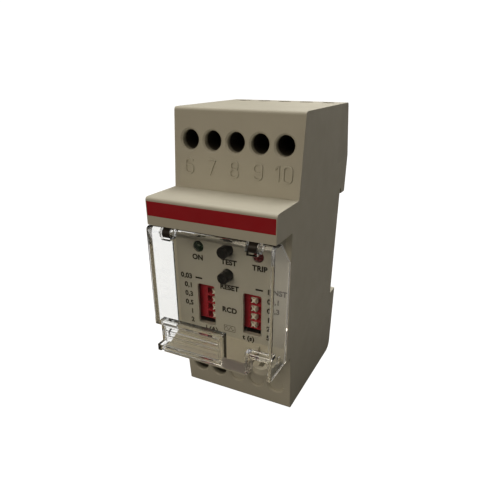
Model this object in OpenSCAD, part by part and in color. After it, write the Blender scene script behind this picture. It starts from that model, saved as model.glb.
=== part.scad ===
// Two-module residual current device for a 35 mm rail, with adjustable trip current and delay.
// Frame: X to the right, Y to the rear (rail side), Z up; origin under the middle of the case.
// All sizes are in millimetres.

/* [Case] */
// Width of two 18 mm modules, less the side play
case_w = 35.8; // [35.6:0.1:36]
// Height of the case
case_h = 85; // [84:0.5:88]
// Depth from the front of the nose to the back of the case
case_d = 55; // [54.5:0.5:57]
// Thickness of the outer walls
wall = 1.8; // [1.5:0.1:2]
// How far the terminal faces lean back at the top and bottom ends
face_lean = 1.75; // [0.5:0.25:2]

/* [Nose] */
// Height of the nose that stands in the cut-out of the switchboard cover
nose_h = 45.3; // [45:0.1:45.6]
// How far the nose stands in front of the terminal faces
nose_out = 13.4; // [13:0.1:14]
// Height of the bar above the settings panel
bar_h = 7.1; // [6.8:0.1:7.5]
// How far the settings panel lies in front of the terminal faces
panel_out = 3.4; // [3.2:0.1:3.6]
// Height of the coloured band
band_h = 3.7; // [3:0.1:4]

/* [Terminals] */
// Distance between neighbouring terminals
pitch = 6.6; // [6.5:0.05:6.7]
// Distance from the end of the case to the row of screws
screw_inset = 7.7; // [7.3:0.1:8]
// Diameter of the screwdriver holes
driver_d = 4.9; // [4.7:0.1:5]
// Diameter of the wire entries
wire_d = 3.8; // [3.4:0.1:4]
// Travel of the clamps
clamp_travel = 2.5; // [1.5:0.25:2.5]

/* [Controls] */
// How far the push buttons stand out of the panel
button_out = 3.3; // [2.5:0.1:3.8]
// Diameter of the push buttons
button_d = 3.2; // [3:0.1:3.4]
// Distance between neighbouring switch sliders
dip_pitch = 2.54; // [2.5:0.01:2.56]
// Travel of the switch sliders
dip_travel = 1.3; // [1:0.1:1.4]

/* [Cover] */
// Thickness of the clear cover
cover_t = 1.2; // [1:0.1:1.3]
// How far the cover stands in front of the nose
cover_out = 0.8; // [0.6:0.1:0.9]

/* [Hidden] */
$fn = 48;

eps = 0.01;
half_w = case_w / 2;
// the cover is the foremost part, and the case is centred between it and the back
total_d = case_d + cover_out;
cover_y = -total_d / 2;
nose_y = cover_y + cover_out;
face_y = nose_y + nose_out;
panel_y = face_y - panel_out;
back_y = total_d / 2;
nose_z0 = (case_h - nose_h) / 2;
nose_z1 = case_h - nose_z0;
bar_z = nose_z1 - bar_h;

// rail seat: a recess across the back for a 35 mm top-hat rail
rail_mid = case_h / 2;
rail_h = 35;
seat_y = back_y - 5.1;
recess_z0 = rail_mid - rail_h / 2 - 0.2;
recess_z1 = rail_mid + rail_h / 2 - 1.1;
hook_z = rail_mid + rail_h / 2 + 0.5;
flange_gap = 1.4;

// joint between the front housing and the rear base
seam_y = 16.9;
seam_z = 16;
back_slope = 4.4;
back_slope_z = case_h - 15;
foot_r = 3;
edge_r = 0.9;

// inside of the case
cavity_y = face_y + wall;
rear_skin = 1.5;
cavity_back = seat_y - rear_skin;

// settings panel, with a label plate let into it
plate_t = 0.8;
plate_w = 32.6;
plate_z0 = 24.4;
plate_z1 = bar_z - 0.4;
panel_skin = 2.4;
chin_z = 23.8;
chin_break = 6.3;
lip_z = nose_z0 + 0.8;
inner_half_w = 16.4;

// seal lug beside the chin
lug_x = 12.8;
lug_r = 2.6;
lug_y = panel_y - 4.9;
lug_z = nose_z0 + 1.4;
lug_t = 1.9;
chin_right = 10.0;

// controls on the panel
led_x = 9;
led_z = 50.45;
test_z = 51;
reset_z = 43.7;
button_play = 0.15;
button_travel = 0.7;
board_y = -9;
board_t = 1.6;

// slide switches: their bodies stand on the front board behind two windows
dip_n = 5;
dip_left_x = -6;
dip_right_x = 7.75;
dip_first_z = 29.05;
dip_w = 9.2;
dip_z0 = 27.7;
dip_h = 13;
dip_y = panel_y + 2;
window_w = 5.5;
window_h = 12.6;
window_z = 26.7;
window_left_x = -7.05;
window_right_x = 7.45;
slider_w = 1.7;

// terminals
upper_z = case_h - screw_inset;
lower_z = screw_inset;
driver_end = 7.3;
lean_angle = atan(face_lean / nose_z0);
blank_depth = 0.9;
rim_chamfer = 0.5;
head_y = driver_end + 0.3;
head_t = 2;
head_r = 2.3;
shank_r = 1.5;
bar_y = 15.9;
bar_t = 1.2;
wire_y = 19.1;
cage_y0 = bar_y - 2.7;
cage_y1 = 22.2;
cage_w = 5.4;
cage_h = 5.2;
wire_room = 4.3;

// main board and the parts on it
main_y = bar_y - board_t;

// cover hinge, under the front of the bar
hinge_y = cover_y + 1.5;
hinge_z = bar_z - 1.65;
hinge_x = 12.1;
knuckle_w = 2.3;
pin_r = 0.7;
pin_play = 0.05;
hook_foot = 1.2;
cover_z0 = nose_z0 + 1;
cover_side_z0 = nose_z0 + 0.6;
cover_top_z = hinge_z + 1.35;
cover_back_y = panel_y - 0.3;
side_t = 1.1;
grip_x = 2.3;
grip_z0 = 22.5;
grip_z1 = 29.3;
grip_depth = 2.5;
ear_w = 4.3;
ear_r = 1.1;
ledge_z = 21.2;
notch_x = 11;
notch_z = 26.2;

// rail clip
clip_w = 9.8;
clip_y = back_y - 3.5;
clip_t = 2.6;
clip_z0 = 3.5;
clip_z1 = recess_z0 + 1.6;
clip_play = 0.3;
wing_w = 12.6;
wing_t = 1;
clip_window_z0 = 5.2;
clip_window_z1 = 19;
spring_z0 = 9;
spring_r = 1.25;
spring_wire = 0.25;
spring_turns = 7;

function terminal_x(n) = (n > 5 ? n - 8 : n - 3) * pitch;
function terminal_z(n) = n > 5 ? upper_z : lower_z;
function arc(cy, cz, r, a0, a1, n = 6) =
    [for (i = [0:n]) [cy + r * cos(a0 + (a1 - a0) * i / n), cz + r * sin(a0 + (a1 - a0) * i / n)]];

// Extrudes a (y, z) outline along X, centred on x = 0
module across(w) {
    rotate([90, 0, 90])
        translate([0, 0, -w / 2])
            linear_extrude(w) children();
}

// Extrudes an (x, z) outline from y0 to y1
module deep(y0, y1) {
    translate([0, y1, 0])
        rotate([90, 0, 0])
            linear_extrude(y1 - y0) children();
}

// Box between two corners
module block(a, b) {
    translate(a) cube(b - a);
}

// Cylinder along Y
module rod(x, z, r, y0, y1) {
    translate([x, y0, z])
        rotate([-90, 0, 0])
            cylinder(r = r, h = y1 - y0);
}

module rounded_rect(x0, z0, x1, z1, r) {
    polygon(concat(
        arc(x1 - r, z1 - r, r, 0, 90), arc(x0 + r, z1 - r, r, 90, 180),
        arc(x0 + r, z0 + r, r, 180, 270), arc(x1 - r, z0 + r, r, 270, 360)));
}

// Side view of the whole case without the nose
module trunk_outline() {
    top_y = face_y + face_lean;
    polygon(concat(
        [[face_y, nose_z0], [face_y, nose_z1]],
        arc(top_y + edge_r, case_h - edge_r, edge_r, 175, 90),
        arc(back_y - back_slope - edge_r, case_h - edge_r, edge_r, 90, 16),
        [[back_y, back_slope_z]],
        arc(back_y - foot_r, foot_r, foot_r, 0, -90),
        arc(top_y + edge_r, edge_r, edge_r, -90, -175)));
}

// Side view of the bar above the panel
module bar_outline() {
    polygon(concat(
        [[panel_y, bar_z], [nose_y, bar_z]],
        arc(nose_y + edge_r, nose_z1 - edge_r, edge_r, 180, 90),
        [[face_y + wall, nose_z1], [face_y + wall, bar_z]]));
}

// Side view of the chin below the panel
module chin_outline() {
    polygon([[face_y + wall, nose_z0], [nose_y, nose_z0], [nose_y, lip_z],
             [panel_y - chin_break, lip_z + 0.5], [panel_y, chin_z], [face_y + wall, chin_z]]);
}

// Free space inside the case, in side view
module cavity_outline() {
    top_y = cavity_y + face_lean;
    polygon([[top_y, case_h - wall], [back_y - back_slope - wall, case_h - wall],
             [back_y - wall, back_slope_z - 1], [back_y - wall, hook_z + rear_skin],
             [cavity_back, hook_z + rear_skin], [cavity_back, recess_z0 - rear_skin],
             [seat_y - 0.2, recess_z0 - rear_skin], [seat_y - 0.2, wall],
             [top_y, wall], [cavity_y, nose_z0], [cavity_y, nose_z0 + wall],
             [panel_y + panel_skin, nose_z0 + wall + 2], [panel_y + panel_skin, bar_z + wall],
             [nose_y + wall, bar_z + wall], [nose_y + wall, nose_z1 - wall],
             [cavity_y, nose_z1 - wall]]);
}

// Space for the rail: the seat, the fixed hook above it and the opening for the clip below it
module rail_outline() {
    polygon([[seat_y, recess_z0], [back_y + 1, recess_z0], [back_y + 1, recess_z1],
             [seat_y + flange_gap, recess_z1], [seat_y + flange_gap, hook_z], [seat_y, hook_z]]);
}

// Region that belongs to the rear base: both ends behind the seam, and the back plate between
module base_region() {
    for (z = [-1, case_h - seam_z])
        block([-half_w - 1, seam_y, z], [half_w + 1, back_y + 1, z + seam_z + 1]);
    block([-half_w + wall, cavity_back, 0], [half_w - wall, back_y + 1, case_h]);
}

module driver_holes() {
    for (n = [1, 2, 6, 7, 8, 9, 10])
        rod(terminal_x(n), terminal_z(n), driver_d / 2, face_y - 1, driver_end + 1);
    // chamfered rims, square to the leaning face; blanked positions are shallow round recesses
    for (n = [1:10])
        translate([terminal_x(n), face_y + (nose_z0 - lower_z) * tan(lean_angle), terminal_z(n)])
            rotate([90 + (n > 5 ? -lean_angle : lean_angle), 0, 0]) {
                translate([0, 0, -rim_chamfer])
                    cylinder(r1 = driver_d / 2, r2 = driver_d / 2 + rim_chamfer + 0.5,
                             h = rim_chamfer + 0.5);
                if (n > 2 && n < 6)
                    translate([0, 0, -blank_depth]) cylinder(r = driver_d / 2, h = blank_depth + 1);
            }
}

module terminal_tubes() {
    for (n = [1, 2, 6, 7, 8, 9, 10])
        rod(terminal_x(n), terminal_z(n), driver_d / 2 + 0.7, cavity_y - 1, driver_end);
    for (x = [-1.5, -0.5, 0.5, 1.5] * pitch)
        block([x - 0.35, cavity_y - 0.5, case_h - seam_z], [x + 0.35, seam_y, case_h - wall + eps]);
    for (x = [-1.5, -0.5] * pitch)
        block([x - 0.35, cavity_y - 0.5, wall - eps], [x + 0.35, seam_y, seam_z]);
}

// Housing side of the cover hinge: two hooks, each with a foot in a pocket of the bar
module hinge_hooks() {
    color([0.16, 0.15, 0.14]) for (x = [-hinge_x, hinge_x])
        translate([x, 0, 0])
            across(knuckle_w)
                difference() {
                    union() {
                        translate([hinge_y, hinge_z]) circle(r = 1.3);
                        polygon([[hinge_y - 0.5, hinge_z], [hinge_y - 0.5, bar_z + hook_foot],
                                 [hinge_y + 1.3, bar_z + hook_foot], [hinge_y + 1.3, hinge_z]]);
                    }
                    translate([hinge_y, hinge_z]) circle(r = pin_r + pin_play);
                    // mouth through which the pin snaps in
                    polygon([[hinge_y, hinge_z - 0.45], [hinge_y + 2, hinge_z - 1.2],
                             [hinge_y + 2, hinge_z - 0.1], [hinge_y, hinge_z + 0.45]]);
                }
}

module seal_lug() {
    difference() {
        union() {
            translate([lug_x, lug_y, lug_z - lug_t]) cylinder(r = lug_r, h = lug_t);
            block([lug_x - lug_r, lug_y, lug_z - lug_t], [lug_x + lug_r, panel_y + 1, lug_z]);
        }
        block([lug_x - 0.7, lug_y - 1.2, lug_z - 3], [lug_x + 0.7, lug_y + 2.9, lug_z + 1]);
    }
}

module housing() {
    color([0.78, 0.76, 0.70]) {
        difference() {
            union() {
                across(case_w) trunk_outline();
                across(case_w) bar_outline();
                block([-half_w, panel_y, nose_z0], [half_w, face_y + wall, bar_z + eps]);
                translate([(chin_right - inner_half_w) / 2, 0, 0])
                    across(chin_right + inner_half_w) chin_outline();
            }
            difference() {
                union() {
                    across(case_w - 2 * wall) cavity_outline();
                    base_region();
                }
                terminal_tubes();
            }
            across(case_w + 2) rail_outline();
            driver_holes();
            // coloured band
            block([-half_w + 0.2, nose_y - 1, nose_z1 - 1 - band_h],
                  [half_w - 0.2, nose_y + 0.5, nose_z1 - 1]);
            // label plate and the openings behind it
            deep(panel_y - 1, panel_y + plate_t)
                rounded_rect(-plate_w / 2, plate_z0, plate_w / 2, plate_z1, 1.2);
            for (x = [dip_left_x, dip_right_x])
                block([x - dip_w / 2 - 0.2, panel_y, window_z - 0.5],
                      [x + dip_w / 2 + 0.2, panel_y + 5, dip_z0 + dip_h + 0.3]);
            for (z = [test_z, reset_z])
                rod(0, z, button_d / 2 + button_play, panel_y, panel_y + 5);
            for (x = [-led_x, led_x])
                rod(x, led_z, 1.65, panel_y, panel_y + 5);
            // pockets for the feet of the hinge hooks
            for (x = [-hinge_x, hinge_x])
                block([x - knuckle_w / 2, hinge_y - 0.5, bar_z - 1],
                      [x + knuckle_w / 2, hinge_y + 1.3, bar_z + hook_foot]);
        }
        // posts for the front board
        for (x = [-14.2, 14.2], z = [27.2, 55])
            rod(x, z, 1.2, panel_y + panel_skin - eps, board_y);
        seal_lug();
    }
}

module rear_base() {
    color([0.74, 0.72, 0.66]) {
        difference() {
            intersection() {
                across(case_w) trunk_outline();
                base_region();
            }
            across(case_w - 2 * wall) cavity_outline();
            across(case_w + 2) rail_outline();
            // wire entries
            for (n = [6, 7, 8, 9, 10])
                translate([terminal_x(n), wire_y, case_h - wall - 1])
                    cylinder(r = wire_d / 2, h = wall + 2);
            for (n = [1, 2])
                translate([terminal_x(n), wire_y, -1]) cylinder(r = wire_d / 2, h = wall + 2);
            // T-shaped guide of the rail clip
            block([-clip_w / 2 - clip_play, clip_y - clip_play, -1],
                  [clip_w / 2 + clip_play, back_y + 1, recess_z0 + 1]);
            block([-wing_w / 2 - clip_play, clip_y - clip_play, -1],
                  [wing_w / 2 + clip_play, clip_y + wing_t + clip_play, recess_z0 + 1]);
        }
        // peg that holds the spring of the clip
        block([-1.4, clip_y - clip_play - eps, spring_z0 - 1.6], [1.4, back_y - 1, spring_z0]);
        // posts for the main board
        for (x = [-13, 13], z = [26.5, 58.5])
            rod(x, z, 1.4, bar_y, cavity_back + eps);
    }
}

module label_panel() {
    color([0.76, 0.74, 0.68])
        difference() {
            deep(panel_y, panel_y + plate_t)
                rounded_rect(-plate_w / 2, plate_z0, plate_w / 2, plate_z1, 1.2);
            for (x = [window_left_x, window_right_x])
                deep(panel_y - 1, panel_y + 2)
                    rounded_rect(x - window_w / 2, window_z, x + window_w / 2, window_z + window_h, 0.7);
            for (z = [test_z, reset_z])
                rod(0, z, button_d / 2 + button_play, panel_y - 1, panel_y + 2);
            for (x = [-led_x, led_x])
                rod(x, led_z, 1.6, panel_y - 1, panel_y + 2);
        }
}

module colour_band() {
    color([0.66, 0.08, 0.10])
        block([-half_w + 0.2, nose_y, nose_z1 - 1 - band_h], [half_w - 0.2, nose_y + 0.5, nose_z1 - 1]);
}

// Side wall of the cover, in side view
module cover_side_outline() {
    polygon([[cover_y, cover_side_z0], [cover_back_y, cover_side_z0],
             [cover_back_y, bar_z - 7.5], [hinge_y + 2.8, bar_z - 0.8],
             [hinge_y, bar_z - 0.8], [cover_y, bar_z - 1.6]]);
}

module clear_cover() {
    front_back = cover_y + cover_t;
    grip_y = cover_y + grip_depth;
    color([0.85, 0.9, 0.92, 0.35])
        difference() {
            union() {
                // front wall with a round top edge
                across(case_w)
                    polygon(concat([[front_back, cover_z0], [cover_y, cover_z0]],
                                   arc(cover_y + 0.9, hinge_z + 0.45, 0.9, 180, 90),
                                   [[cover_y + 1.6, cover_top_z], [cover_y + 1.6, hinge_z + 0.5],
                                    [front_back, hinge_z - 0.2]]));
                for (s = [-1, 1])
                    translate([s * (half_w - side_t / 2), 0, 0])
                        across(side_t) cover_side_outline();
                // ears that hold the hinge pins
                for (x = [-hinge_x, hinge_x])
                    rotate([0, 90, 0])
                        translate([-hinge_z, hinge_y, x - ear_w / 2]) cylinder(r = ear_r, h = ear_w);
                // ledge along the lower edge
                block([grip_x, cover_y + eps, ledge_z], [notch_x, grip_y, ledge_z + 0.9]);
                // walls of the finger grip and of the seal notch
                block([-half_w, cover_y, grip_z0 - 1], [grip_x + 1, grip_y + 1, grip_z1 + 1]);
                block([notch_x - 1, cover_y, cover_z0], [notch_x, grip_y + 1, notch_z + 1]);
                block([notch_x - 1, cover_y, notch_z], [half_w, grip_y + 1, notch_z + 1]);
            }
            block([-half_w - 1, cover_y - 1, grip_z0], [grip_x, grip_y, grip_z1]);
            block([notch_x, cover_y - 1, cover_z0 - 1], [half_w - side_t, grip_y + 2, notch_z]);
            // pockets for the hooks of the housing
            for (x = [-hinge_x, hinge_x])
                difference() {
                    block([x - knuckle_w / 2 - 0.2, cover_y - 1, hinge_z - 1.6],
                          [x + knuckle_w / 2 + 0.2, hinge_y + 3, hinge_z + 3]);
                    rotate([0, 90, 0])
                        translate([-hinge_z, hinge_y, x - 3]) cylinder(r = pin_r, h = 6);
                }
        }
    // ribs of the finger grip, and the dimples that hold the cover shut
    color([0.85, 0.9, 0.92, 0.35]) {
        for (z = [24.2, 25.9, 27.6])
            block([-half_w + 1.5, grip_y - 0.4, z - 0.3], [grip_x - 1, grip_y + eps, z + 0.3]);
        for (s = [-1, 1])
            translate([s * (half_w - side_t), panel_y - 5.1, 24])
                rotate([0, -90 * s, 0]) cylinder(r1 = 1.2, r2 = 0.8, h = 0.3);
    }
}

module led(x) {
    rod(x, led_z, 1.5, panel_y + 0.2, panel_y + 4.6);
    translate([x, panel_y + 0.2, led_z])
        rotate([90, 0, 0])
            rotate_extrude() intersection() {
                translate([0, -1.05]) circle(r = 1.83);
                square([1.5, 3]);
            }
    rod(x, led_z, 1.9, panel_y + 3.6, panel_y + 4.6);
    for (s = [-1, 1])
        block([x + 1.27 * s - 0.25, panel_y + 4.5, led_z - 0.25],
              [x + 1.27 * s + 0.25, board_y, led_z + 0.25]);
}

module led_on() {
    color([0.10, 0.22, 0.12]) led(-led_x);
}

module led_trip() {
    color([0.35, 0.05, 0.07]) led(led_x);
}

// Push button: a cap in the panel, a flange behind it and a stem to the switch
module push_button(z) {
    skin_back = panel_y + panel_skin;
    rod(0, z, button_d / 2, panel_y - button_out + 0.3, skin_back + 0.3);
    translate([0, panel_y - button_out + 0.3 + eps, z])
        rotate([90, 0, 0]) cylinder(r1 = button_d / 2, r2 = button_d / 2 - 0.3, h = 0.3 + eps);
    rod(0, z, button_d / 2 + 0.7, skin_back + 0.2, skin_back + 1);
    rod(0, z, 1, skin_back + 0.9, skin_back + 1.4);
}

module test_button() {
    color([0.09, 0.09, 0.09]) push_button(test_z);
}

module reset_button() {
    color([0.09, 0.09, 0.09]) push_button(reset_z);
}

module button_switches() {
    color([0.2, 0.2, 0.22])
        for (z = [test_z, reset_z]) {
            block([-3, board_y - 2.9, z - 3], [3, board_y, z + 3]);
            rod(0, z, 1.7, board_y - 3.5, board_y - 2.9 + eps);
        }
}

// Slide switch body: one slot for each slider
module dip_switch(x) {
    difference() {
        block([x - dip_w / 2, dip_y, dip_z0], [x + dip_w / 2, board_y, dip_z0 + dip_h]);
        for (i = [0:dip_n - 1]) {
            z = dip_first_z + i * dip_pitch;
            block([x - 1.75, dip_y - 1, z - 0.95], [x + 1.75, dip_y + 1.8, z + 0.95]);
        }
    }
}

module dip_switch_current() {
    color([0.62, 0.08, 0.12]) dip_switch(dip_left_x);
}

module dip_switch_delay() {
    color([0.62, 0.08, 0.12]) dip_switch(dip_right_x);
}

// Slider of a slide switch: a square foot under a knob with a notch in each side
module dip_slider(x, i) {
    z = dip_first_z + (i - 1) * dip_pitch;
    h = slider_w / 2;
    k = h / 2;
    color([0.85, 0.82, 0.76]) {
        block([x - h, dip_y + 0.4, z - h], [x + h, dip_y + 1.5, z + h]);
        translate([x, 0, z])
            deep(dip_y - 0.3, dip_y + 0.4 + eps)
                polygon([[h, h], [0, k], [-h, h], [-k, 0], [-h, -h], [0, -k], [h, -h], [k, 0]]);
    }
}

module front_board() {
    color([0.10, 0.32, 0.16]) block([-15.4, board_y, 25.5], [15.4, board_y + board_t, 57]);
}

module main_board() {
    color([0.10, 0.32, 0.16]) block([-15.8, main_y, 22], [15.8, main_y + board_t, 63]);
}

module board_header() {
    back = board_y + board_t;
    color([0.12, 0.12, 0.12])
        for (y = [back, main_y - 2.5])
            block([1.75, y, 29.5], [3.85, y + 2.5, 42.5]);
    color([0.80, 0.68, 0.32])
        for (i = [0:4])
            rod(2.8, 30.9 + i * 2.54, 0.32, back + 2.5 - eps, main_y - 2.5 + eps);
}

module microcontroller() {
    y0 = board_y + board_t;
    color([0.12, 0.12, 0.13]) {
        block([-9.5, y0 + 0.2, 46.5], [-2.5, y0 + 1.5, 53.5]);
        for (s = [-1, 1], i = [0:7])
            block([-6 + s * 4 - 0.6, y0, 47.2 + i * 0.8], [-6 + s * 4 + 0.6, y0 + 0.5, 47.5 + i * 0.8]);
    }
}

// Three-legged laminated core: the winding sits on the middle leg
module transformer_core() {
    color([0.35, 0.36, 0.38])
        difference() {
            block([-14.6, 1, 26], [1.4, 8, 48]);
            for (x = [-12.6, -4.1])
                block([x, 0, 29], [x + 3.5, 9, 45]);
        }
}

module transformer_winding() {
    color([0.62, 0.32, 0.14])
        difference() {
            union() {
                block([-12.5, -1.5, 29.2], [-0.7, 10.5, 44.8]);
                block([-12.5, 10.4, 29.2], [-0.7, main_y, 44.8]);
            }
            block([-9.2, 0.9, 28], [-4, 8.1, 46]);
        }
}

module relay() {
    color([0.15, 0.25, 0.5]) block([4.2, main_y - 14, 27], [14.2, main_y, 47]);
}

module capacitors() {
    color([0.15, 0.15, 0.2])
        for (x = [-1.5, 9])
            rod(x, 54, 4, main_y - 12, main_y);
}

module varistor() {
    color([0.12, 0.3, 0.6]) {
        translate([-13, main_y - 6, 55])
            rotate([0, 90, 0]) cylinder(r = 3.5, h = 3);
        for (z = [53, 57])
            block([-11.8, main_y - 2.6, z - 0.3], [-11.2, main_y, z + 0.3]);
    }
}

// Contact bar from a clamp to the main board
module contact_bar(n) {
    x = terminal_x(n);
    z0 = n > 5 ? 60 : 4.3;
    z1 = n > 5 ? case_h - 4.3 : 25;
    block([x - 1.6, bar_y, z0], [x + 1.6, bar_y + bar_t, z1]);
}

module contact_bars_upper() {
    color([0.72, 0.45, 0.25]) for (n = [6:10]) contact_bar(n);
}

module contact_bars_lower() {
    color([0.72, 0.45, 0.25]) for (n = [1, 2]) contact_bar(n);
}

// Clamp screw with a cross and slot recess in its head
module clamp_screw(n) {
    x = terminal_x(n);
    z = terminal_z(n);
    color([0.72, 0.72, 0.70])
        difference() {
            union() {
                rod(x, z, head_r, head_y, head_y + head_t);
                rod(x, z, shank_r, head_y + head_t - eps, bar_y - 0.1);
            }
            block([x - 3, head_y - 1, z - 0.4], [x + 3, head_y + 1.1, z + 0.4]);
            block([x - 0.4, head_y - 1, z - 1.5], [x + 0.4, head_y + 1.1, z + 1.5]);
        }
}

// Rising clamp: a cage that the screw draws towards its head, round the wire and the contact bar
module clamp_cage(n) {
    x = terminal_x(n);
    z = terminal_z(n);
    color([0.75, 0.72, 0.62])
        difference() {
            block([x - cage_w / 2, cage_y0, z - cage_h / 2], [x + cage_w / 2, cage_y1, z + cage_h / 2]);
            block([x - wire_room / 2, cage_y0 + 2, z - cage_h],
                  [x + wire_room / 2, cage_y1 - 1, z + cage_h]);
            rod(x, z, shank_r + 0.05, cage_y0 - 1, cage_y0 + 3);
        }
}

module rail_clip() {
    color([0.2, 0.2, 0.21])
        difference() {
            union() {
                block([-clip_w / 2, clip_y, clip_z0], [clip_w / 2, clip_y + clip_t, clip_z1 - 1.5]);
                block([-wing_w / 2, clip_y, clip_z0 + 3], [wing_w / 2, clip_y + wing_t, recess_z0 - 3.4]);
                // nose that catches the rail, with a slope that lets it snap on
                across(clip_w)
                    polygon([[clip_y, clip_z1 - 1.6], [clip_y, clip_z1], [clip_y + 0.8, clip_z1],
                             [clip_y + clip_t, clip_z1 - 1.5], [clip_y + clip_t, clip_z1 - 1.6]]);
            }
            block([-2, clip_y - 1, clip_window_z0], [2, clip_y + 4, clip_window_z1]);
            // slot for a screwdriver
            block([-2.5, clip_y + 1, clip_z0 - 1], [2.5, clip_y + 4, clip_z0 + 0.8]);
        }
}

// Compression spring: a helix of round wire between the peg and the top of the clip's window
module rail_clip_spring() {
    steps = spring_turns * 12;
    sides = 8;
    length = clip_window_z1 - spring_z0 - 2 * spring_wire - 0.1;
    axis_y = clip_y + clip_t / 2;
    points = [
        for (i = [0:steps], j = [0:sides - 1])
            let (a = 360 * i / 12, b = 360 * j / sides, r = spring_r - spring_wire + spring_wire * cos(b))
                [r * cos(a), r * sin(a) + axis_y,
                 spring_z0 + spring_wire + length * i / steps + spring_wire * sin(b)]
    ];
    faces = concat(
        [[for (j = [0:sides - 1]) j]],
        [for (i = [0:steps - 1], j = [0:sides - 1])
            [i * sides + j, (i + 1) * sides + j, (i + 1) * sides + (j + 1) % sides,
             i * sides + (j + 1) % sides]],
        [[for (j = [sides - 1:-1:0]) steps * sides + j]]);
    color([0.6, 0.6, 0.62]) polyhedron(points = points, faces = faces, convexity = 8);
}

left_rest = dip_left_x + dip_travel / 2;
right_rest = dip_right_x - dip_travel / 2;

housing();
rear_base();
label_panel();
colour_band();
hinge_hooks();
clear_cover();
led_on();
led_trip();
test_button();
reset_button();
button_switches();
dip_switch_current();
dip_switch_delay();
dip_slider(left_rest, 1);  // current_slider_1
dip_slider(left_rest, 2);  // current_slider_2
dip_slider(left_rest, 3);  // current_slider_3
dip_slider(left_rest, 4);  // current_slider_4
dip_slider(left_rest, 5);  // current_slider_5
dip_slider(right_rest, 1);  // delay_slider_1
dip_slider(right_rest, 2);  // delay_slider_2
dip_slider(right_rest, 3);  // delay_slider_3
dip_slider(right_rest, 4);  // delay_slider_4
dip_slider(right_rest, 5);  // delay_slider_5
front_board();
main_board();
board_header();
microcontroller();
transformer_core();
transformer_winding();
relay();
capacitors();
varistor();
contact_bars_upper();
contact_bars_lower();
clamp_screw(1);  // screw_1
clamp_screw(2);  // screw_2
clamp_screw(6);  // screw_6
clamp_screw(7);  // screw_7
clamp_screw(8);  // screw_8
clamp_screw(9);  // screw_9
clamp_screw(10);  // screw_10
clamp_cage(1);  // clamp_1
clamp_cage(2);  // clamp_2
clamp_cage(6);  // clamp_6
clamp_cage(7);  // clamp_7
clamp_cage(8);  // clamp_8
clamp_cage(9);  // clamp_9
clamp_cage(10);  // clamp_10
rail_clip();
rail_clip_spring();
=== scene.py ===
import math

import bmesh
import bpy
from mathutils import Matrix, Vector

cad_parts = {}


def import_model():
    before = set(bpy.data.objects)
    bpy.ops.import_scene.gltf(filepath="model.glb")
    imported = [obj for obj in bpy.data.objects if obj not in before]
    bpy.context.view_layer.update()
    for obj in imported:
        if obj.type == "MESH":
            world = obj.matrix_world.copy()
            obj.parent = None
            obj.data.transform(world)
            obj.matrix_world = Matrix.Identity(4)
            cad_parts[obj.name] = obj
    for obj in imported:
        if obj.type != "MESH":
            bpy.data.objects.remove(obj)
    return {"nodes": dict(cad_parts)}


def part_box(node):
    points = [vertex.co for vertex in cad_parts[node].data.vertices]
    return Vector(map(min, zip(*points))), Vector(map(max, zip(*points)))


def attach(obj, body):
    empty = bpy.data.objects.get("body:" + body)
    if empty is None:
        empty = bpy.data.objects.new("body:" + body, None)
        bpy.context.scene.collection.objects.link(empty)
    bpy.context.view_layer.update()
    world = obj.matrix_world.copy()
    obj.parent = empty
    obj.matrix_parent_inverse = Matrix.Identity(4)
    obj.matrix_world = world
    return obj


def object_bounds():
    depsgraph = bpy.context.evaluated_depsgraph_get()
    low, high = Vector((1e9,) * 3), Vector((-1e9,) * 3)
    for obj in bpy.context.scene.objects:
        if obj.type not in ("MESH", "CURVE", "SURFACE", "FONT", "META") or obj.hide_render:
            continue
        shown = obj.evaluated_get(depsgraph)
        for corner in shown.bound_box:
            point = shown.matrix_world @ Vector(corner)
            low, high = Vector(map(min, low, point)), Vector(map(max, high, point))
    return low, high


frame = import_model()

MM = 0.001
CAD_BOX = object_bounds()
NODES = frame["nodes"]

# places taken from the frame, in metres: x to the right, y to the back, z up
PANEL_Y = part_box("label_panel")[0].y
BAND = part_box("colour_band")
CASE_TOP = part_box("housing")[1].z
MIDDLE_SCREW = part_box("screw_8")
UPPER_HOLES_Z = (MIDDLE_SCREW[0].z + MIDDLE_SCREW[1].z) / 2
PITCH = MIDDLE_SCREW[0].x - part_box("screw_7")[0].x

# the two terminal faces: they lean back from the shelf above the nose and from the chin below it
TERMINAL_FACE_Y = BAND[0].y + 13.4 * MM
SHELF_Z = BAND[1].z + 1 * MM
FACE_LEAN = 1.75 * MM

# the screwdriver holes: half the width and height of a row, how deep their painted shade starts and is
# full, and the y where it ends
WELLS_X = 16.4 * MM
WELLS_Z = 2.6 * MM
SHADE_STARTS = 2.2 * MM
SHADE_FULL = 3.3 * MM
SHADE_ENDS_Y = 12 * MM

# strip on the lower edge of the cover, frosted and painted grey to stand for the shaded recess behind it
STRIP_X = (3.4 * MM, 10.4 * MM)
STRIP_Z = (20.9 * MM, 23.9 * MM)

# sloping rear edge of the cover's side walls: y and z of its ends, and how near to it counts
SLOPE_LOW = (-17.4 * MM, 50.55 * MM)
SLOPE_HIGH = (-23.6 * MM, 57.25 * MM)
SLOPE_REACH = 0.2 * MM
SANDED_ROUGHNESS = 0.7


# ---------------------------------------------------------------- node helpers

def new_material(name):
    """An empty material with its output: returns (material, nodes, links, output)."""
    material = bpy.data.materials.new(name)
    material.use_nodes = True
    tree = material.node_tree
    tree.nodes.clear()
    out = tree.nodes.new("ShaderNodeOutputMaterial")
    return material, tree.nodes, tree.links, out


def principled(nodes, links, out, **sockets):
    """A Principled shader with these plain values, joined to the output."""
    shader = nodes.new("ShaderNodeBsdfPrincipled")
    for key, value in sockets.items():
        shader.inputs[key.replace("_", " ")].default_value = value
    links.new(shader.outputs[0], out.inputs["Surface"])
    return shader


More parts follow.
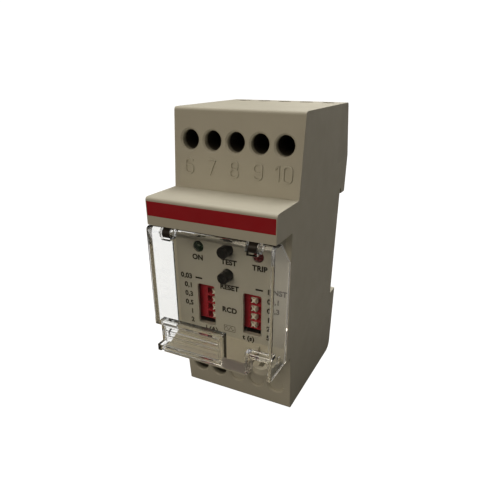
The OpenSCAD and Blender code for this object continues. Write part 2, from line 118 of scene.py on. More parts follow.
def plain_shader(nodes, kind, colour=None, strength=None):
    """The output of a simple shader of this kind, with a plain colour or strength where one is given."""
    shader = nodes.new(kind)
    if colour is not None:
        shader.inputs["Color"].default_value = (*colour, 1)
    if strength is not None:
        shader.inputs["Strength"].default_value = strength
    return shader.outputs[0]


def feed(links, socket, source):
    """Gives an input its source, which is another node's output or a plain value."""
    if isinstance(source, bpy.types.NodeSocket):
        links.new(source, socket)
    else:
        socket.default_value = source


def maths(nodes, links, operation, *terms):
    """A Math node; each term is a socket or a plain number."""
    node = nodes.new("ShaderNodeMath")
    node.operation = operation
    for socket, term in zip(node.inputs, terms):
        feed(links, socket, term)
    return node.outputs[0]


def product(nodes, links, first, *others):
    """All the factors multiplied together."""
    for factor in others:
        first = maths(nodes, links, "MULTIPLY", first, factor)
    return first


def between(nodes, links, value, low, high):
    """1 where the value lies between low and high, 0 elsewhere."""
    return maths(nodes, links, "COMPARE", value, (high + low) / 2, (high - low) / 2)


def remap(nodes, links, fac, lo, hi, low=0.3, high=0.7):
    """fac between low and high, mapped to lo..hi."""
    node = nodes.new("ShaderNodeMapRange")
    node.inputs["From Min"].default_value = low
    node.inputs["From Max"].default_value = high
    node.inputs["To Min"].default_value = lo
    node.inputs["To Max"].default_value = hi
    links.new(fac, node.inputs["Value"])
    return node.outputs["Result"]


def object_axes(nodes, links):
    """The x, y and z of the point being shaded, by the names X, Y and Z."""
    place = nodes.new("ShaderNodeTexCoord")
    axes = nodes.new("ShaderNodeSeparateXYZ")
    links.new(place.outputs["Object"], axes.inputs[0])
    return axes.outputs


def noise(nodes, links, scale, detail=4.0, rough=0.55, stretch=(1, 1, 1)):
    """A noise texture in object space; scale counts features per metre."""
    place = nodes.new("ShaderNodeTexCoord")
    mapping = nodes.new("ShaderNodeMapping")
    mapping.inputs["Scale"].default_value = stretch
    texture = nodes.new("ShaderNodeTexNoise")
    texture.inputs["Scale"].default_value = scale
    texture.inputs["Detail"].default_value = detail
    texture.inputs["Roughness"].default_value = rough
    links.new(place.outputs["Object"], mapping.inputs["Vector"])
    links.new(mapping.outputs["Vector"], texture.inputs["Vector"])
    return texture.outputs["Fac"]


def ramp(nodes, links, fac, stops):
    """A colour ramp through (position, colour) stops."""
    node = nodes.new("ShaderNodeValToRGB")
    elements = node.color_ramp.elements
    while len(elements) < len(stops):
        elements.new(0.5)
    for element, (position, colour) in zip(elements, stops):
        element.position = position
        element.color = (*colour, 1)
    links.new(fac, node.inputs["Fac"])
    return node.outputs["Color"]


def tones(colour, spread):
    """Three stops round a colour: a little darker, itself, a little lighter."""
    dark = tuple(c * (1 - spread) for c in colour)
    light = tuple(min(1, c * (1 + spread)) for c in colour)
    return [(0.25, dark), (0.5, colour), (0.75, light)]


def bump(nodes, links, fac, distance, strength=1.0, after=None):
    """A bump node of this height, in metres; after chains it onto another."""
    node = nodes.new("ShaderNodeBump")
    node.inputs["Strength"].default_value = strength
    node.inputs["Distance"].default_value = distance
    links.new(fac, node.inputs["Height"])
    if after is not None:
        links.new(after, node.inputs["Normal"])
    return node.outputs["Normal"]


def mixed_colour(nodes, links, factor, first, second, blend_type="MIX"):
    """The first colour where the factor is 0, blended with the second where it is 1."""
    mix = nodes.new("ShaderNodeMix")
    mix.data_type = "RGBA"
    mix.blend_type = blend_type
    for key, source in (("Factor", factor), ("A", first), ("B", second)):
        feed(links, mix.inputs[key], source)
    return mix.outputs["Result"]


def mixed_shader(nodes, links, factor, first, second):
    """The first shader where the factor is 0, the second where it is 1."""
    mix = nodes.new("ShaderNodeMixShader")
    for socket, source in zip(mix.inputs, (factor, first, second)):
        links.new(source, socket)
    return mix.outputs[0]


def added_shader(nodes, links, first, second):
    """Two shaders on top of each other."""
    both = nodes.new("ShaderNodeAddShader")
    links.new(first, both.inputs[0])
    links.new(second, both.inputs[1])
    return both.outputs[0]


# ---------------------------------------------------------------- materials

def moulded_plastic(name, colour, roughness, spread, grain=0.006, specular=0.4):
    """Moulded plastic: a grain this many millimetres high, a cloudy tone and slightly uneven gloss."""
    material, n, l, out = new_material(name)
    shader = principled(n, l, out, Specular_IOR_Level=specular)
    cloud = noise(n, l, 160, detail=3)
    l.new(ramp(n, l, cloud, tones(colour, spread)), shader.inputs["Base Color"])
    gloss = noise(n, l, 420, detail=5)
    l.new(remap(n, l, gloss, roughness - 0.07, roughness + 0.09), shader.inputs["Roughness"])
    coarse = bump(n, l, noise(n, l, 2600, detail=2, rough=0.6), grain * MM, 0.5)
    fine = noise(n, l, 7000, detail=2, rough=0.7)
    l.new(bump(n, l, fine, grain * 0.4 * MM, 0.5, coarse), shader.inputs["Normal"])
    return material


def screw_wells(nodes, links):
    """1 on the walls of the screwdriver holes past their rims, where shade is painted into the colour."""
    axes = object_axes(nodes, links)
    across = between(nodes, links, axes["X"], -WELLS_X, WELLS_X)
    start, full = TERMINAL_FACE_Y + SHADE_STARTS, TERMINAL_FACE_Y + SHADE_FULL
    deep = remap(nodes, links, axes["Y"], 0, 1, low=start, high=full)
    in_holes = between(nodes, links, axes["Y"], TERMINAL_FACE_Y, SHADE_ENDS_Y)
    upper, lower = (between(nodes, links, axes["Z"], z - WELLS_Z, z + WELLS_Z)
                    for z in (UPPER_HOLES_Z, CASE_TOP - UPPER_HOLES_Z))
    rows = maths(nodes, links, "ADD", upper, lower)
    return product(nodes, links, across, deep, in_holes, rows)


def speckled_case(name, colour):
    """The case's plastic: as moulded_plastic, with sparse dark specks and painted shade down the screw
    holes.
    """
    material, n, l, out = new_material(name)
    shader = principled(n, l, out, Specular_IOR_Level=0.35)
    cloud = ramp(n, l, noise(n, l, 90, detail=4), tones(colour, 0.035))
    speck = remap(n, l, noise(n, l, 3200, detail=2, rough=0.4), 0.0, 0.35, low=0.72, high=0.80)
    speckled = mixed_colour(n, l, speck, cloud, (*(c * 0.45 for c in colour), 1))
    # painted shade: the walls of the screwdriver holes are darkened in the colour itself
    hole_shade = (0.10, 0.09, 0.08, 1)
    l.new(mixed_colour(n, l, screw_wells(n, l), speckled, hole_shade, "MULTIPLY"), shader.inputs["Base Color"])
    l.new(remap(n, l, noise(n, l, 300, detail=6), 0.42, 0.6), shader.inputs["Roughness"])
    coarse = bump(n, l, noise(n, l, 3000, detail=2, rough=0.6), 0.018 * MM, 0.6)
    fine = noise(n, l, 8000, detail=2, rough=0.7)
    l.new(bump(n, l, fine, 0.008 * MM, 0.6, coarse), shader.inputs["Normal"])
    return material


def frosted_strip(nodes, links):
    """How frosted and painted grey the cover is: a grain on the strip right of the finger grip, 0
    elsewhere.
    """
    axes = object_axes(nodes, links)
    across = between(nodes, links, axes["X"], *STRIP_X)
    up = between(nodes, links, axes["Z"], *STRIP_Z)
    grain = remap(nodes, links, noise(nodes, links, 2500, detail=2), 0.30, 0.50)
    return product(nodes, links, across, up, grain)


def sanded_slope(nodes, links):
    """Roughness of the sloping rear edge of the cover's side walls, which scatters what runs inside."""
    axes = object_axes(nodes, links)
    grade = (SLOPE_HIGH[1] - SLOPE_LOW[1]) / (SLOPE_LOW[0] - SLOPE_HIGH[0])
    height = maths(nodes, links, "MULTIPLY_ADD", axes["Y"], grade, axes["Z"])
    on_slope = SLOPE_LOW[1] + grade * SLOPE_LOW[0]
    near = between(nodes, links, height, on_slope - SLOPE_REACH, on_slope + SLOPE_REACH)
    return maths(nodes, links, "MULTIPLY", near, SANDED_ROUGHNESS)


def clear_plastic(name):
    """Clear polycarbonate that lets the lamps light what is behind it, with faint handling marks."""
    material, n, l, out = new_material(name)
    shader = principled(n, l, out, Transmission_Weight=1.0, IOR=1.5)
    smears = noise(n, l, 220, detail=6, rough=0.7, stretch=(1, 1, 0.35))
    marks = remap(n, l, smears, 0.01, 0.05, low=0.45, high=0.75)
    frost_and_shade = frosted_strip(n, l)
    rough = maths(n, l, "MAXIMUM", marks, frost_and_shade)
    l.new(maths(n, l, "MAXIMUM", rough, sanded_slope(n, l)), shader.inputs["Roughness"])
    # painted shade: on the strip the cover lets less through and turns grey, for the shaded recess seen
    # behind it
    l.new(remap(n, l, frost_and_shade, 1.0, 0.45, low=0.1, high=0.3), shader.inputs["Transmission Weight"])
    painted_grey = remap(n, l, frost_and_shade, 0, 1, low=0.1, high=0.3)
    tint = mixed_colour(n, l, painted_grey, (0.97, 0.975, 0.97, 1), (0.45, 0.42, 0.41, 1))
    l.new(tint, shader.inputs["Base Color"])
    l.new(bump(n, l, noise(n, l, 120, detail=2), 0.03 * MM, 0.25), shader.inputs["Normal"])
    path = n.new("ShaderNodeLightPath")
    see_through = plain_shader(n, "ShaderNodeBsdfTransparent", (0.96, 0.96, 0.95))
    cover = mixed_shader(n, l, path.outputs["Is Shadow Ray"], shader.outputs[0], see_through)
    l.new(cover, out.inputs["Surface"])
    return material


def lens(name, colour):
    """Tinted indicator body: deep colour under a glossy coat."""
    material, n, l, out = new_material(name)
    shader = principled(n, l, out, Coat_Weight=0.5, Coat_Roughness=0.08, Specular_IOR_Level=0.4)
    l.new(ramp(n, l, noise(n, l, 500, detail=3), tones(colour, 0.2)), shader.inputs["Base Color"])
    l.new(remap(n, l, noise(n, l, 900, detail=3), 0.16, 0.3), shader.inputs["Roughness"])
    return material


def metal(name, colour, roughness, stretch=(1, 1, 1), scale=900):
    """Turned or drawn metal: streaks along its working direction."""
    material, n, l, out = new_material(name)
    shader = principled(n, l, out, Metallic=1.0)
    streak = noise(n, l, scale, detail=6, rough=0.65, stretch=stretch)
    l.new(ramp(n, l, streak, tones(colour, 0.18)), shader.inputs["Base Color"])
    l.new(remap(n, l, streak, roughness - 0.08, roughness + 0.14), shader.inputs["Roughness"])
    l.new(bump(n, l, streak, 0.01 * MM, 0.4), shader.inputs["Normal"])
    return material


def circuit_board(name):
    """Solder mask with copper tracks showing through as lighter bands."""
    material, n, l, out = new_material(name)
    shader = principled(n, l, out, Coat_Weight=0.5, Coat_Roughness=0.12, Roughness=0.35)
    place = n.new("ShaderNodeTexCoord")
    brick = n.new("ShaderNodeTexBrick")
    brick.inputs["Scale"].default_value = 260
    brick.inputs["Mortar Size"].default_value = 0.06
    brick.inputs["Color1"].default_value = (0.012, 0.09, 0.035, 1)
    brick.inputs["Color2"].default_value = (0.015, 0.11, 0.045, 1)
    brick.inputs["Mortar"].default_value = (0.05, 0.22, 0.09, 1)
    turn = n.new("ShaderNodeMapping")
    turn.inputs["Rotation"].default_value = (math.pi / 2, 0, 0)
    l.new(place.outputs["Object"], turn.inputs["Vector"])
    l.new(turn.outputs["Vector"], brick.inputs["Vector"])
    l.new(brick.outputs["Color"], shader.inputs["Base Color"])
    l.new(bump(n, l, brick.outputs["Fac"], 0.02 * MM, 0.5), shader.inputs["Normal"])
    return material


def wound_copper(name):
    """Enamelled wire in close turns."""
    material, n, l, out = new_material(name)
    shader = principled(n, l, out, Metallic=0.6, Coat_Weight=0.4, Coat_Roughness=0.2)
    place = n.new("ShaderNodeTexCoord")
    wave = n.new("ShaderNodeTexWave")
    wave.bands_direction = "Z"
    wave.inputs["Scale"].default_value = 900
    wave.inputs["Distortion"].default_value = 0.6
    l.new(place.outputs["Object"], wave.inputs["Vector"])
    turns = wave.outputs["Fac"]
    l.new(ramp(n, l, turns, tones((0.45, 0.17, 0.06), 0.35)), shader.inputs["Base Color"])
    l.new(remap(n, l, turns, 0.5, 0.3, low=0, high=1), shader.inputs["Roughness"])
    l.new(bump(n, l, turns, 0.12 * MM, 0.8), shader.inputs["Normal"])
    return material


def printed_ink(name, colour):
    """Pad-printed ink: thin, slightly broken in tone."""
    material, n, l, out = new_material(name)
    shader = principled(n, l, out, Specular_IOR_Level=0.3)
    l.new(ramp(n, l, noise(n, l, 3000, detail=3), tones(colour, 0.3)), shader.inputs["Base Color"])
    l.new(remap(n, l, noise(n, l, 1500, detail=2), 0.45, 0.65), shader.inputs["Roughness"])
    return material


CASE = speckled_case("case_plastic", (0.56, 0.535, 0.45))
BASE = speckled_case("base_plastic", (0.53, 0.505, 0.425))
LABEL = moulded_plastic("label_plate", (0.455, 0.445, 0.395), 0.45, spread=0.03)
RED = moulded_plastic("band_red", (0.42, 0.012, 0.020), 0.38, spread=0.06, grain=0.008, specular=0.45)
CLEAR = clear_plastic("clear_polycarbonate")
GREEN_LENS = lens("lens_green", (0.009, 0.030, 0.013))
RED_LENS = lens("lens_red", (0.085, 0.003, 0.006))
BLACK = moulded_plastic("black_plastic", (0.013,) * 3, 0.42, spread=0.15, grain=0.012, specular=0.25)
# painted shade: the hinge hooks are coloured dark brown to stand for the shade under the bar
HINGE_SHADE_DARK = moulded_plastic("hinge_plastic", (0.024, 0.019, 0.015), 0.4, spread=0.2, grain=0.010, specular=0.3)
SWITCH_RED = moulded_plastic("switch_red", (0.36, 0.014, 0.026), 0.34, spread=0.10, specular=0.3)
SLIDER = moulded_plastic("slider_white", (0.74, 0.70, 0.60), 0.35, spread=0.06, specular=0.5)
BOARD = circuit_board("circuit_board")
GOLD = metal("gold_plate", (0.83, 0.62, 0.27), 0.25)
CORE = metal("laminated_steel", (0.28, 0.29, 0.31), 0.45, stretch=(0.05, 1, 0.05), scale=1800)
WINDING = wound_copper("wound_copper")
COPPER = metal("tinned_copper", (0.80, 0.48, 0.30), 0.3, stretch=(1, 1, 0.1))
RELAY = moulded_plastic("relay_case", (0.03, 0.09, 0.30), 0.28, spread=0.08, specular=0.5)
LACQUER = moulded_plastic("varistor_lacquer", (0.02, 0.10, 0.36), 0.22,
                          spread=0.15, grain=0.03, specular=0.5)
ZINC = metal("zinc_plate", (0.62, 0.62, 0.60), 0.32)
SPRING = metal("spring_steel", (0.50, 0.50, 0.52), 0.25)
INK = printed_ink("ink_black", (0.006, 0.0055, 0.005))

FINISH = {
    "housing": CASE, "rear_base": BASE, "label_panel": LABEL, "colour_band": RED, "clear_cover": CLEAR,
    "led_on": GREEN_LENS, "led_trip": RED_LENS, "test_button": BLACK, "reset_button": BLACK,
    "button_switches": BLACK, "dip_switch_current": SWITCH_RED, "dip_switch_delay": SWITCH_RED,
    "front_board": BOARD, "main_board": BOARD, "board_header": GOLD, "microcontroller": BLACK,
    "transformer_core": CORE, "transformer_winding": WINDING, "relay": RELAY, "capacitors": BLACK,
    "varistor": LACQUER, "contact_bars_upper": COPPER, "contact_bars_lower": COPPER,
    "rail_clip": BLACK, "rail_clip_spring": SPRING, "hinge_hooks": HINGE_SHADE_DARK,
}
FINISH_BY_START = {"current_slider": SLIDER, "delay_slider": SLIDER, "screw": ZINC, "clamp": ZINC}

# width of the rounded edges of each node, in millimetres
ROUND = {
    "housing": 0.45, "rear_base": 0.3, "label_panel": 0.12, "colour_band": 0.08, "clear_cover": 0.3,
    "test_button": 0.25, "reset_button": 0.25, "dip_switch_current": 0.12, "dip_switch_delay": 0.12,
    "rail_clip": 0.25, "relay": 0.4, "transformer_winding": 0.8, "transformer_core": 0.15,
    "capacitors": 0.5, "microcontroller": 0.08, "varistor": 0.6, "button_switches": 0.15,
}
ROUND_BY_START = {"current_slider": 0.05, "delay_slider": 0.05, "screw": 0.15, "clamp": 0.25}

WELD_DISTANCE = 1e-6
FLAT_ANGLE = math.radians(0.5)
EDGE_ANGLE = math.radians(32)
EDGE_SEGMENTS = 3


def by_start(name, exact, starts, otherwise=None):
    """A node's entry in a table, or that of the first part of its name."""
    if name in exact:
        return exact[name]
    for start, value in starts.items():
        if name.startswith(start):
            return value
    return otherwise


def round_edges(obj, width):
    """Joins the split faces of a CAD node, clears the flat ones and rounds its sharp edges."""
    weld = obj.modifiers.new("weld", "WELD")
    weld.merge_threshold = WELD_DISTANCE
    flat = obj.modifiers.new("flat", "DECIMATE")
    flat.decimate_type = "DISSOLVE"
    flat.angle_limit = FLAT_ANGLE
    if width:
        bevel = obj.modifiers.new("bevel", "BEVEL")
        bevel.width = width * MM
        bevel.segments = EDGE_SEGMENTS
        bevel.limit_method = "ANGLE"
        bevel.angle_limit = EDGE_ANGLE
        bevel.use_clamp_overlap = True
        bevel.loop_slide = False
    smooth = obj.modifiers.new("normals", "WEIGHTED_NORMAL")
    smooth.keep_sharp = True


def finish_node(name, obj):
    """A CAD node's material and rounded edges."""
    obj.data.materials.clear()
    obj.data.materials.append(by_start(name, FINISH, FINISH_BY_START))
    round_edges(obj, by_start(name, ROUND, ROUND_BY_START, 0))


for node_name, node_object in NODES.items():
    finish_node(node_name, node_object)


# ---------------------------------------------------------------- print on the label panel

# height of a capital of the built-in font at size 1
FONT_CAP = 0.682
LETTER_SPACING = 1.06
INK_THICKNESS = 0.02 * MM
PRINT_CAP = 1.42 * MM
TYPE_CAP = 1.5 * MM
# how far each kind of print swells past the font's outline
WORD_BOLD = 0.10 * MM
SCALE_BOLD = 0.09 * MM
TYPE_BOLD = 0.11 * MM

SCALE_TOP_Z = 40.4 * MM
SCALE_STEP = 2.8 * MM
UNITS_Z = 24.75 * MM


def legend(name, words, x, z, cap, bold, align="CENTER"):
    """Letters printed on the label panel, their foot at z; cap is the height of a capital."""
    curve = bpy.data.curves.new(name, "FONT")
    curve.body = words
    curve.size = cap / FONT_CAP
    curve.align_x = align
    curve.space_character = LETTER_SPACING
    curve.extrude = INK_THICKNESS / 2
    curve.offset = bold
    curve.materials.append(INK)
    piece = bpy.data.objects.new(name, curve)
    bpy.context.collection.objects.link(piece)
    piece.rotation_euler = (math.pi / 2, 0, 0)
    piece.location = (x, PANEL_Y - INK_THICKNESS / 2, z)
    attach(piece, "case")


legend("word_on", "ON", -9.35 * MM, 46.6 * MM, PRINT_CAP, WORD_BOLD)
legend("word_test", "TEST", 0.4 * MM, 46.75 * MM, PRINT_CAP, WORD_BOLD)
legend("word_reset", "RESET", 0.45 * MM, 39.3 * MM, PRINT_CAP, WORD_BOLD)
legend("word_trip", "TRIP", 9.55 * MM, 46.6 * MM, PRINT_CAP, WORD_BOLD)

for scale, marks, x, align in (
    ("current", ("0,03", "0,1", "0,3", "0,5", "1", "2"), -11.5 * MM, "RIGHT"),
    ("delay", ("INST", "0,1", "0,3", "1", "2", "5"), 11.9 * MM, "LEFT"),
):
    for i, words in enumerate(marks):
        z = SCALE_TOP_Z - i * SCALE_STEP
        legend(f"{scale}_mark_{i + 1}", words, x, z, PRINT_CAP, SCALE_BOLD, align)
legend("unit_current", "I (A)", -5.6 * MM, UNITS_Z, PRINT_CAP, SCALE_BOLD)
legend("unit_delay", "t (s)", 6.4 * MM, UNITS_Z, PRINT_CAP, SCALE_BOLD)


# ---------------------------------------------------------------- raised figures and printed signs

FIGURE_HEIGHT = 3.7 * MM
FIGURE_WIDTH = 0.58 * FIGURE_HEIGHT
FIGURE_GAP = 0.45 * MM
FIGURE_STROKE = 0.5 * MM
FIGURE_RELIEF = 0.34 * MM
FIGURE_LIP = 0.06 * MM
# how far the foot of a figure is let into the face it stands on
FIGURE_SUNK = 0.02 * MM
# middle of the upper row of terminal numbers; the lower row mirrors it
NUMBERS_Z = 70.9 * MM
SIGN_STROKE = 0.14 * MM


def mesh_piece(name, verts, faces, material):
    """A mesh piece in the frame that rides on the case."""
    mesh = bpy.data.meshes.new(name)
    mesh.from_pydata([tuple(v) for v in verts], [], faces)
    shape = bmesh.new()
    shape.from_mesh(mesh)
    bmesh.ops.recalc_face_normals(shape, faces=shape.faces)
    shape.to_mesh(mesh)
    shape.free()
    mesh.materials.append(material)
    piece = bpy.data.objects.new(name, mesh)
    bpy.context.collection.objects.link(piece)
    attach(piece, "case")


def ribbon(points, width, height, lip, closed, place):
    """Raised stroke along 2D points: a flat top with sloping sides. place(u, v, h) gives 3D points."""
    count = len(points)
    half, top = width / 2, width / 2 - lip
    verts, faces = [], []
    for i, point in enumerate(points):
        before = points[i - 1] if closed or i else point
        after = points[(i + 1) % count] if closed or i < count - 1 else point
        along = Vector((after[0] - before[0], after[1] - before[1])).normalized()
        side = Vector((-along.y, along.x))
        for offset, h in ((half, 0), (top, height), (-top, height), (-half, 0)):
            verts.append(place(point[0] + side.x * offset, point[1] + side.y * offset, h))
    for i in range(count if closed else count - 1):
        here, there = 4 * i, 4 * ((i + 1) % count)
        faces += [(here + j, here + (j + 1) % 4, there + (j + 1) % 4, there + j) for j in range(4)]
    if not closed:
        faces += [(0, 1, 2, 3), (4 * count - 1, 4 * count - 2, 4 * count - 3, 4 * count - 4)]
    return verts, faces


def bow(cx, cy, rx, ry, start, end, steps=10):
    """Points on an ellipse between two angles, in degrees."""
    angles = [math.radians(start + (end - start) * i / steps) for i in range(steps + 1)]
    return [(cx + rx * math.cos(a), cy + ry * math.sin(a)) for a in angles]


def loop(x0, y0, x1, y1, r):
    """A rounded rectangle as a closed line."""
    return (bow(x1 - r, y1 - r, r, r, 0, 90, 6) + bow(x0 + r, y1 - r, r, r, 90, 180, 6)
            + bow(x0 + r, y0 + r, r, r, 180, 270, 6) + bow(x1 - r, y0 + r, r, r, 270, 360, 6))


# moulded figures in a box 1 wide and 2 high: (points, closed) for each stroke
FIGURES = {
    "0": [(loop(0, 0, 1, 2, 0.42), True)],
    "1": [([(0.15, 1.55), (0.62, 2), (0.62, 0)], False)],
    "2": [(bow(0.5, 1.5, 0.5, 0.5, 170, -30) + [(0, 0), (1.02, 0)], False)],
    "3": [(bow(0.5, 1.52, 0.46, 0.48, 160, -90) + bow(0.5, 0.52, 0.5, 0.52, 80, -160), False)],
    "4": [([(0.72, 0), (0.72, 2), (0, 0.5), (1.02, 0.5)], False)],
    "5": [([(0.95, 2), (0.12, 2), (0.05, 1.1)] + bow(0.5, 0.6, 0.5, 0.6, 120, -150), False)],
    "6": [(bow(0.5, 1.52, 0.5, 0.48, 20, 180, 8) + bow(0.42, 0.42, 0.42, 0.42, 180, 270, 6)
           + bow(0.58, 0.42, 0.42, 0.42, 270, 360, 6) + bow(0.58, 0.72, 0.42, 0.42, 0, 90, 6)
           + [(0.04, 1.14)], False)],
    "7": [([(0, 2), (1, 2), (0.3, 0)], False)],
    "8": [(loop(0, 0, 1, 1.04, 0.4), True),
          ([(0.2, 1.05), (0.08, 1.3)] + bow(0.42, 1.66, 0.34, 0.34, 180, 90, 6)
           + bow(0.58, 1.66, 0.34, 0.34, 90, 0, 6) + [(0.92, 1.3), (0.8, 1.05)], False)],
    "9": [(bow(0.5, 0.48, 0.5, 0.48, 200, 360, 8) + bow(0.58, 1.58, 0.42, 0.42, 0, 90, 6)
           + bow(0.42, 1.58, 0.42, 0.42, 90, 180, 6) + bow(0.42, 1.28, 0.42, 0.42, 180, 270, 6)
           + [(0.96, 0.86)], False)],
}


def on_terminal_face(u, v, h):
    """A point of a figure on the leaning face above the shelf or below the chin, h above its foot."""
    foot = SHELF_Z if v > CASE_TOP / 2 else CASE_TOP - SHELF_Z
    lean = FACE_LEAN * abs(v - foot) / (CASE_TOP - SHELF_Z)
    return Vector((u, TERMINAL_FACE_Y + lean - (h - FIGURE_SUNK), v))


def moulded_number(number, x, z_mid):
    """A terminal number in raised figures, centred on x and z_mid."""
    scale = FIGURE_HEIGHT / 2
    width = FIGURE_WIDTH * len(number) + FIGURE_GAP * (len(number) - 1)
    verts, faces = [], []
    for i, figure in enumerate(number):
        left = x - width / 2 + i * (FIGURE_WIDTH + FIGURE_GAP)
        for points, closed in FIGURES[figure]:
            line = [(left + p[0] * FIGURE_WIDTH, z_mid - scale + p[1] * scale) for p in points]
            v, f = ribbon(line, FIGURE_STROKE, FIGURE_RELIEF, FIGURE_LIP, closed, on_terminal_face)
            faces += [tuple(k + len(verts) for k in face) for face in f]
            verts += v
    mesh_piece(f"terminal_number_{number}", verts, faces, CASE)


def printed_bar(name, x0, x1, z0, z1):
    """A printed rectangle on the label panel."""
    verts = [(x, y, z) for y in (PANEL_Y - INK_THICKNESS, PANEL_Y) for x in (x0, x1) for z in (z0, z1)]
    faces = [(0, 1, 3, 2), (4, 6, 7, 5), (0, 4, 5, 1), (2, 3, 7, 6), (0, 2, 6, 4), (1, 5, 7, 3)]
    mesh_piece(name, verts, faces, INK)


def on_panel(u, v, h):
    """A point on the label panel, or h in front of it."""
    return Vector((u, PANEL_Y - h, v))


def printed_line(name, points, closed):
    """A thin line printed on the label panel."""
    v, f = ribbon(points, SIGN_STROKE, INK_THICKNESS, INK_THICKNESS / 2, closed, on_panel)
    mesh_piece(name, v, f, INK)


def wave_sign(x, z):
    """The generic sign for alternating current: two turns of a wave in a box, centred on x and z."""
    half_width, half_height, corner = 1.75 * MM, 0.9 * MM, 0.2 * MM
    box = loop(x - half_width, z - half_height, x + half_width, z + half_height, corner)
    printed_line("wave_mark_frame", box, True)
    length, swing, steps = 2.8 * MM, 0.5 * MM, 32
    parts = [i / steps for i in range(steps + 1)]
    wave = [(x + length * (part - 0.5), z + swing * math.sin(4 * math.pi * part)) for part in parts]
    printed_line("wave_mark_line", wave, False)


for n in range(6, 11):
    moulded_number(str(n), (n - 8) * PITCH, NUMBERS_Z)
for n in range(1, 6):
    moulded_number(str(n), (n - 3) * PITCH, CASE_TOP - NUMBERS_Z)

# dashes that point from the scales to the switches
printed_bar("current_dash", -10.4 * MM, -8.2 * MM, 40.8 * MM, 41.3 * MM)
printed_bar("delay_dash", 8.4 * MM, 10.6 * MM, 40.9 * MM, 41.4 * MM)

legend("type_mark", "RCD", 0.4 * MM, 32.25 * MM, TYPE_CAP, TYPE_BOLD)
wave_sign(0.35 * MM, 27.0 * MM)


# ---------------------------------------------------------------- stage, lights and camera

# strength of the surroundings where they are seen, and where they only light the object
SEEN_WHITE = 1.08
AMBIENT = 0.13
AMBIENT_COLOUR = (1.0, 0.90, 0.76)
# share of the white seen along an edge of clear plastic, after two or more reflections inside it
EDGE_WHITE = 0.5

FLOOR_SIZE = 6.0
FLOOR_DROP = 0.02 * MM
# strength of the floor's glow where it is seen, where it lights matt parts and where glossy parts mirror it
FLOOR_SEEN = 1.03
FRONT_BOUNCE = 0.25
MIRRORED = 0.27
# stretches of y: the mirrored glow grows over the first; the other grows and fades over the last two
BEHIND_GROWS = (0.0, 50 * MM)
FRONT_GROWS = (-160 * MM, -80 * MM)
FRONT_FADES = (-60 * MM, 0.0)

# the camera stands so many degrees to the right of the front and above it; its lens is in millimetres
CAMERA_FROM = (26.68, 27.29)
CAMERA_AIM = (0, -7.73 * MM, 30.0 * MM)
CAMERA_DISTANCE = 138.3 * MM
FOCAL_LENGTH = 32.91
SENSOR_WIDTH = 36
LENS_SHIFT = (0.012, 0.110)


def seen_directly(nodes, links):
    """1 for a ray from the eye, straight or through clear plastic; 0 for one that lights things."""
    path = nodes.new("ShaderNodeLightPath").outputs
    from_eye = maths(nodes, links, "MAXIMUM", path["Is Camera Ray"], path["Is Transmission Ray"])
    unscattered = remap(nodes, links, path["Diffuse Depth"], 1, 0, low=0, high=1)
    unmirrored = remap(nodes, links, path["Glossy Depth"], 1, 0, low=0, high=1)
    inside_edges = remap(nodes, links, path["Glossy Depth"], 0, EDGE_WHITE, low=1, high=2)
    shown = maths(nodes, links, "MAXIMUM", unmirrored, inside_edges)
    return product(nodes, links, from_eye, unscattered, shown)


def world():
    """White where it is seen, dim and warm where it lights the object."""
    studio = bpy.data.worlds.new("studio")
    bpy.context.scene.world = studio
    studio.use_nodes = True
    n, l = studio.node_tree.nodes, studio.node_tree.links
    n.clear()
    out = n.new("ShaderNodeOutputWorld")
    light = plain_shader(n, "ShaderNodeBackground", AMBIENT_COLOUR, AMBIENT)
    seen = plain_shader(n, "ShaderNodeBackground", (1.0, 1.0, 1.0), SEEN_WHITE)
    l.new(mixed_shader(n, l, seen_directly(n, l), light, seen), out.inputs["Surface"])


def floor_sheen(nodes, links):
    """The floor as the object gets it: dark, but bright behind in mirrors and in front on matt parts."""
    path = nodes.new("ShaderNodeLightPath").outputs
    place = nodes.new("ShaderNodeNewGeometry")
    axes = nodes.new("ShaderNodeSeparateXYZ")
    links.new(place.outputs["Position"], axes.inputs[0])
    y = axes.outputs["Y"]
    behind = remap(nodes, links, y, 0, MIRRORED, *BEHIND_GROWS)
    mirrored = maths(nodes, links, "MULTIPLY", path["Is Glossy Ray"], behind)
    grown = remap(nodes, links, y, 0, 1, *FRONT_GROWS)
    faded = remap(nodes, links, y, FRONT_BOUNCE, 0, *FRONT_FADES)
    in_front = maths(nodes, links, "MULTIPLY", grown, faded)
    scattered = maths(nodes, links, "GREATER_THAN", path["Diffuse Depth"], 0.5)
    glow = nodes.new("ShaderNodeEmission")
    glow.inputs["Color"].default_value = (1.0, 0.93, 0.82, 1)
    links.new(maths(nodes, links, "MULTIPLY_ADD", scattered, in_front, mirrored), glow.inputs["Strength"])
    dark = plain_shader(nodes, "ShaderNodeBsdfDiffuse", (0.04, 0.038, 0.035))
    return added_shader(nodes, links, dark, glow.outputs[0])


def floor_material():
    """Glows where it is seen, so that it joins the white behind it, and is not there from below."""
    material, n, l, out = new_material("pale_floor")
    matt = plain_shader(n, "ShaderNodeBsdfDiffuse", (0.12, 0.11, 0.10))
    seen = added_shader(n, l, matt, plain_shader(n, "ShaderNodeEmission", strength=FLOOR_SEEN))
    above = mixed_shader(n, l, seen_directly(n, l), floor_sheen(n, l), seen)
    side = n.new("ShaderNodeNewGeometry")
    nothing = plain_shader(n, "ShaderNodeBsdfTransparent")
    l.new(mixed_shader(n, l, side.outputs["Backfacing"], above, nothing), out.inputs["Surface"])
    return material


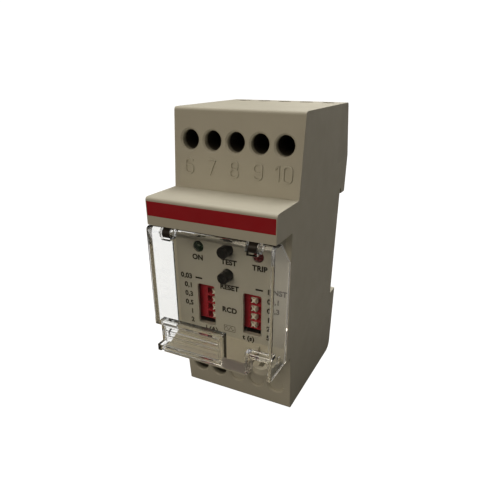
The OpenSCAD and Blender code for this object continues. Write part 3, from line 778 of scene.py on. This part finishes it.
def floor():
    """A pale floor just under the object, with a faint shadow."""
    mesh = bpy.data.meshes.new("floor")
    far = FLOOR_SIZE / 2
    corners = [(-far, -far, 0), (far, -far, 0), (far, far, 0), (-far, far, 0)]
    mesh.from_pydata(corners, [], [(0, 1, 2, 3)])
    mesh.materials.append(floor_material())
    plane = bpy.data.objects.new("floor", mesh)
    bpy.context.collection.objects.link(plane)
    plane.location.z = CAD_BOX[0].z - FLOOR_DROP


def looking_at(name, data, target, azimuth, elevation, distance):
    """A lamp or camera that looks at a point, from so many degrees right of the front and above it."""
    a, e = math.radians(azimuth), math.radians(elevation)
    back = Vector((math.sin(a) * math.cos(e), -math.cos(a) * math.cos(e), math.sin(e)))
    thing = bpy.data.objects.new(name, data)
    bpy.context.collection.objects.link(thing)
    thing.location = target + back * distance
    thing.rotation_euler = (-back).to_track_quat("-Z", "Y").to_euler()
    return thing


def lamp(name, azimuth, elevation, distance, size, power, colour):
    """A square soft light that looks at the middle of the object."""
    light = bpy.data.lights.new(name, "AREA")
    light.energy = power
    light.size = size
    light.color = colour
    looking_at(name, light, (CAD_BOX[0] + CAD_BOX[1]) / 2, azimuth, elevation, distance)


def camera():
    """The viewing angle: from the right and above, close by, with the object low in the frame."""
    eye = bpy.data.cameras.new("camera")
    eye.sensor_width = SENSOR_WIDTH
    eye.lens = FOCAL_LENGTH
    eye.shift_x, eye.shift_y = LENS_SHIFT
    eye.clip_start = 0.01
    bpy.context.scene.camera = looking_at("camera", eye, Vector(CAMERA_AIM), *CAMERA_FROM, CAMERA_DISTANCE)


world()
floor()
lamp("key", azimuth=170, elevation=76, distance=0.6, size=0.3, power=2.7, colour=(1.0, 0.98, 0.92))
lamp("front_fill", azimuth=-12, elevation=30, distance=0.7, size=0.35, power=1.1, colour=(1.0, 0.88, 0.70))
lamp("back_fill", azimuth=180, elevation=20, distance=0.8, size=0.6, power=0.9, colour=(1.0, 0.95, 0.86))
camera()
bpy.context.scene.view_settings.view_transform = "Standard"
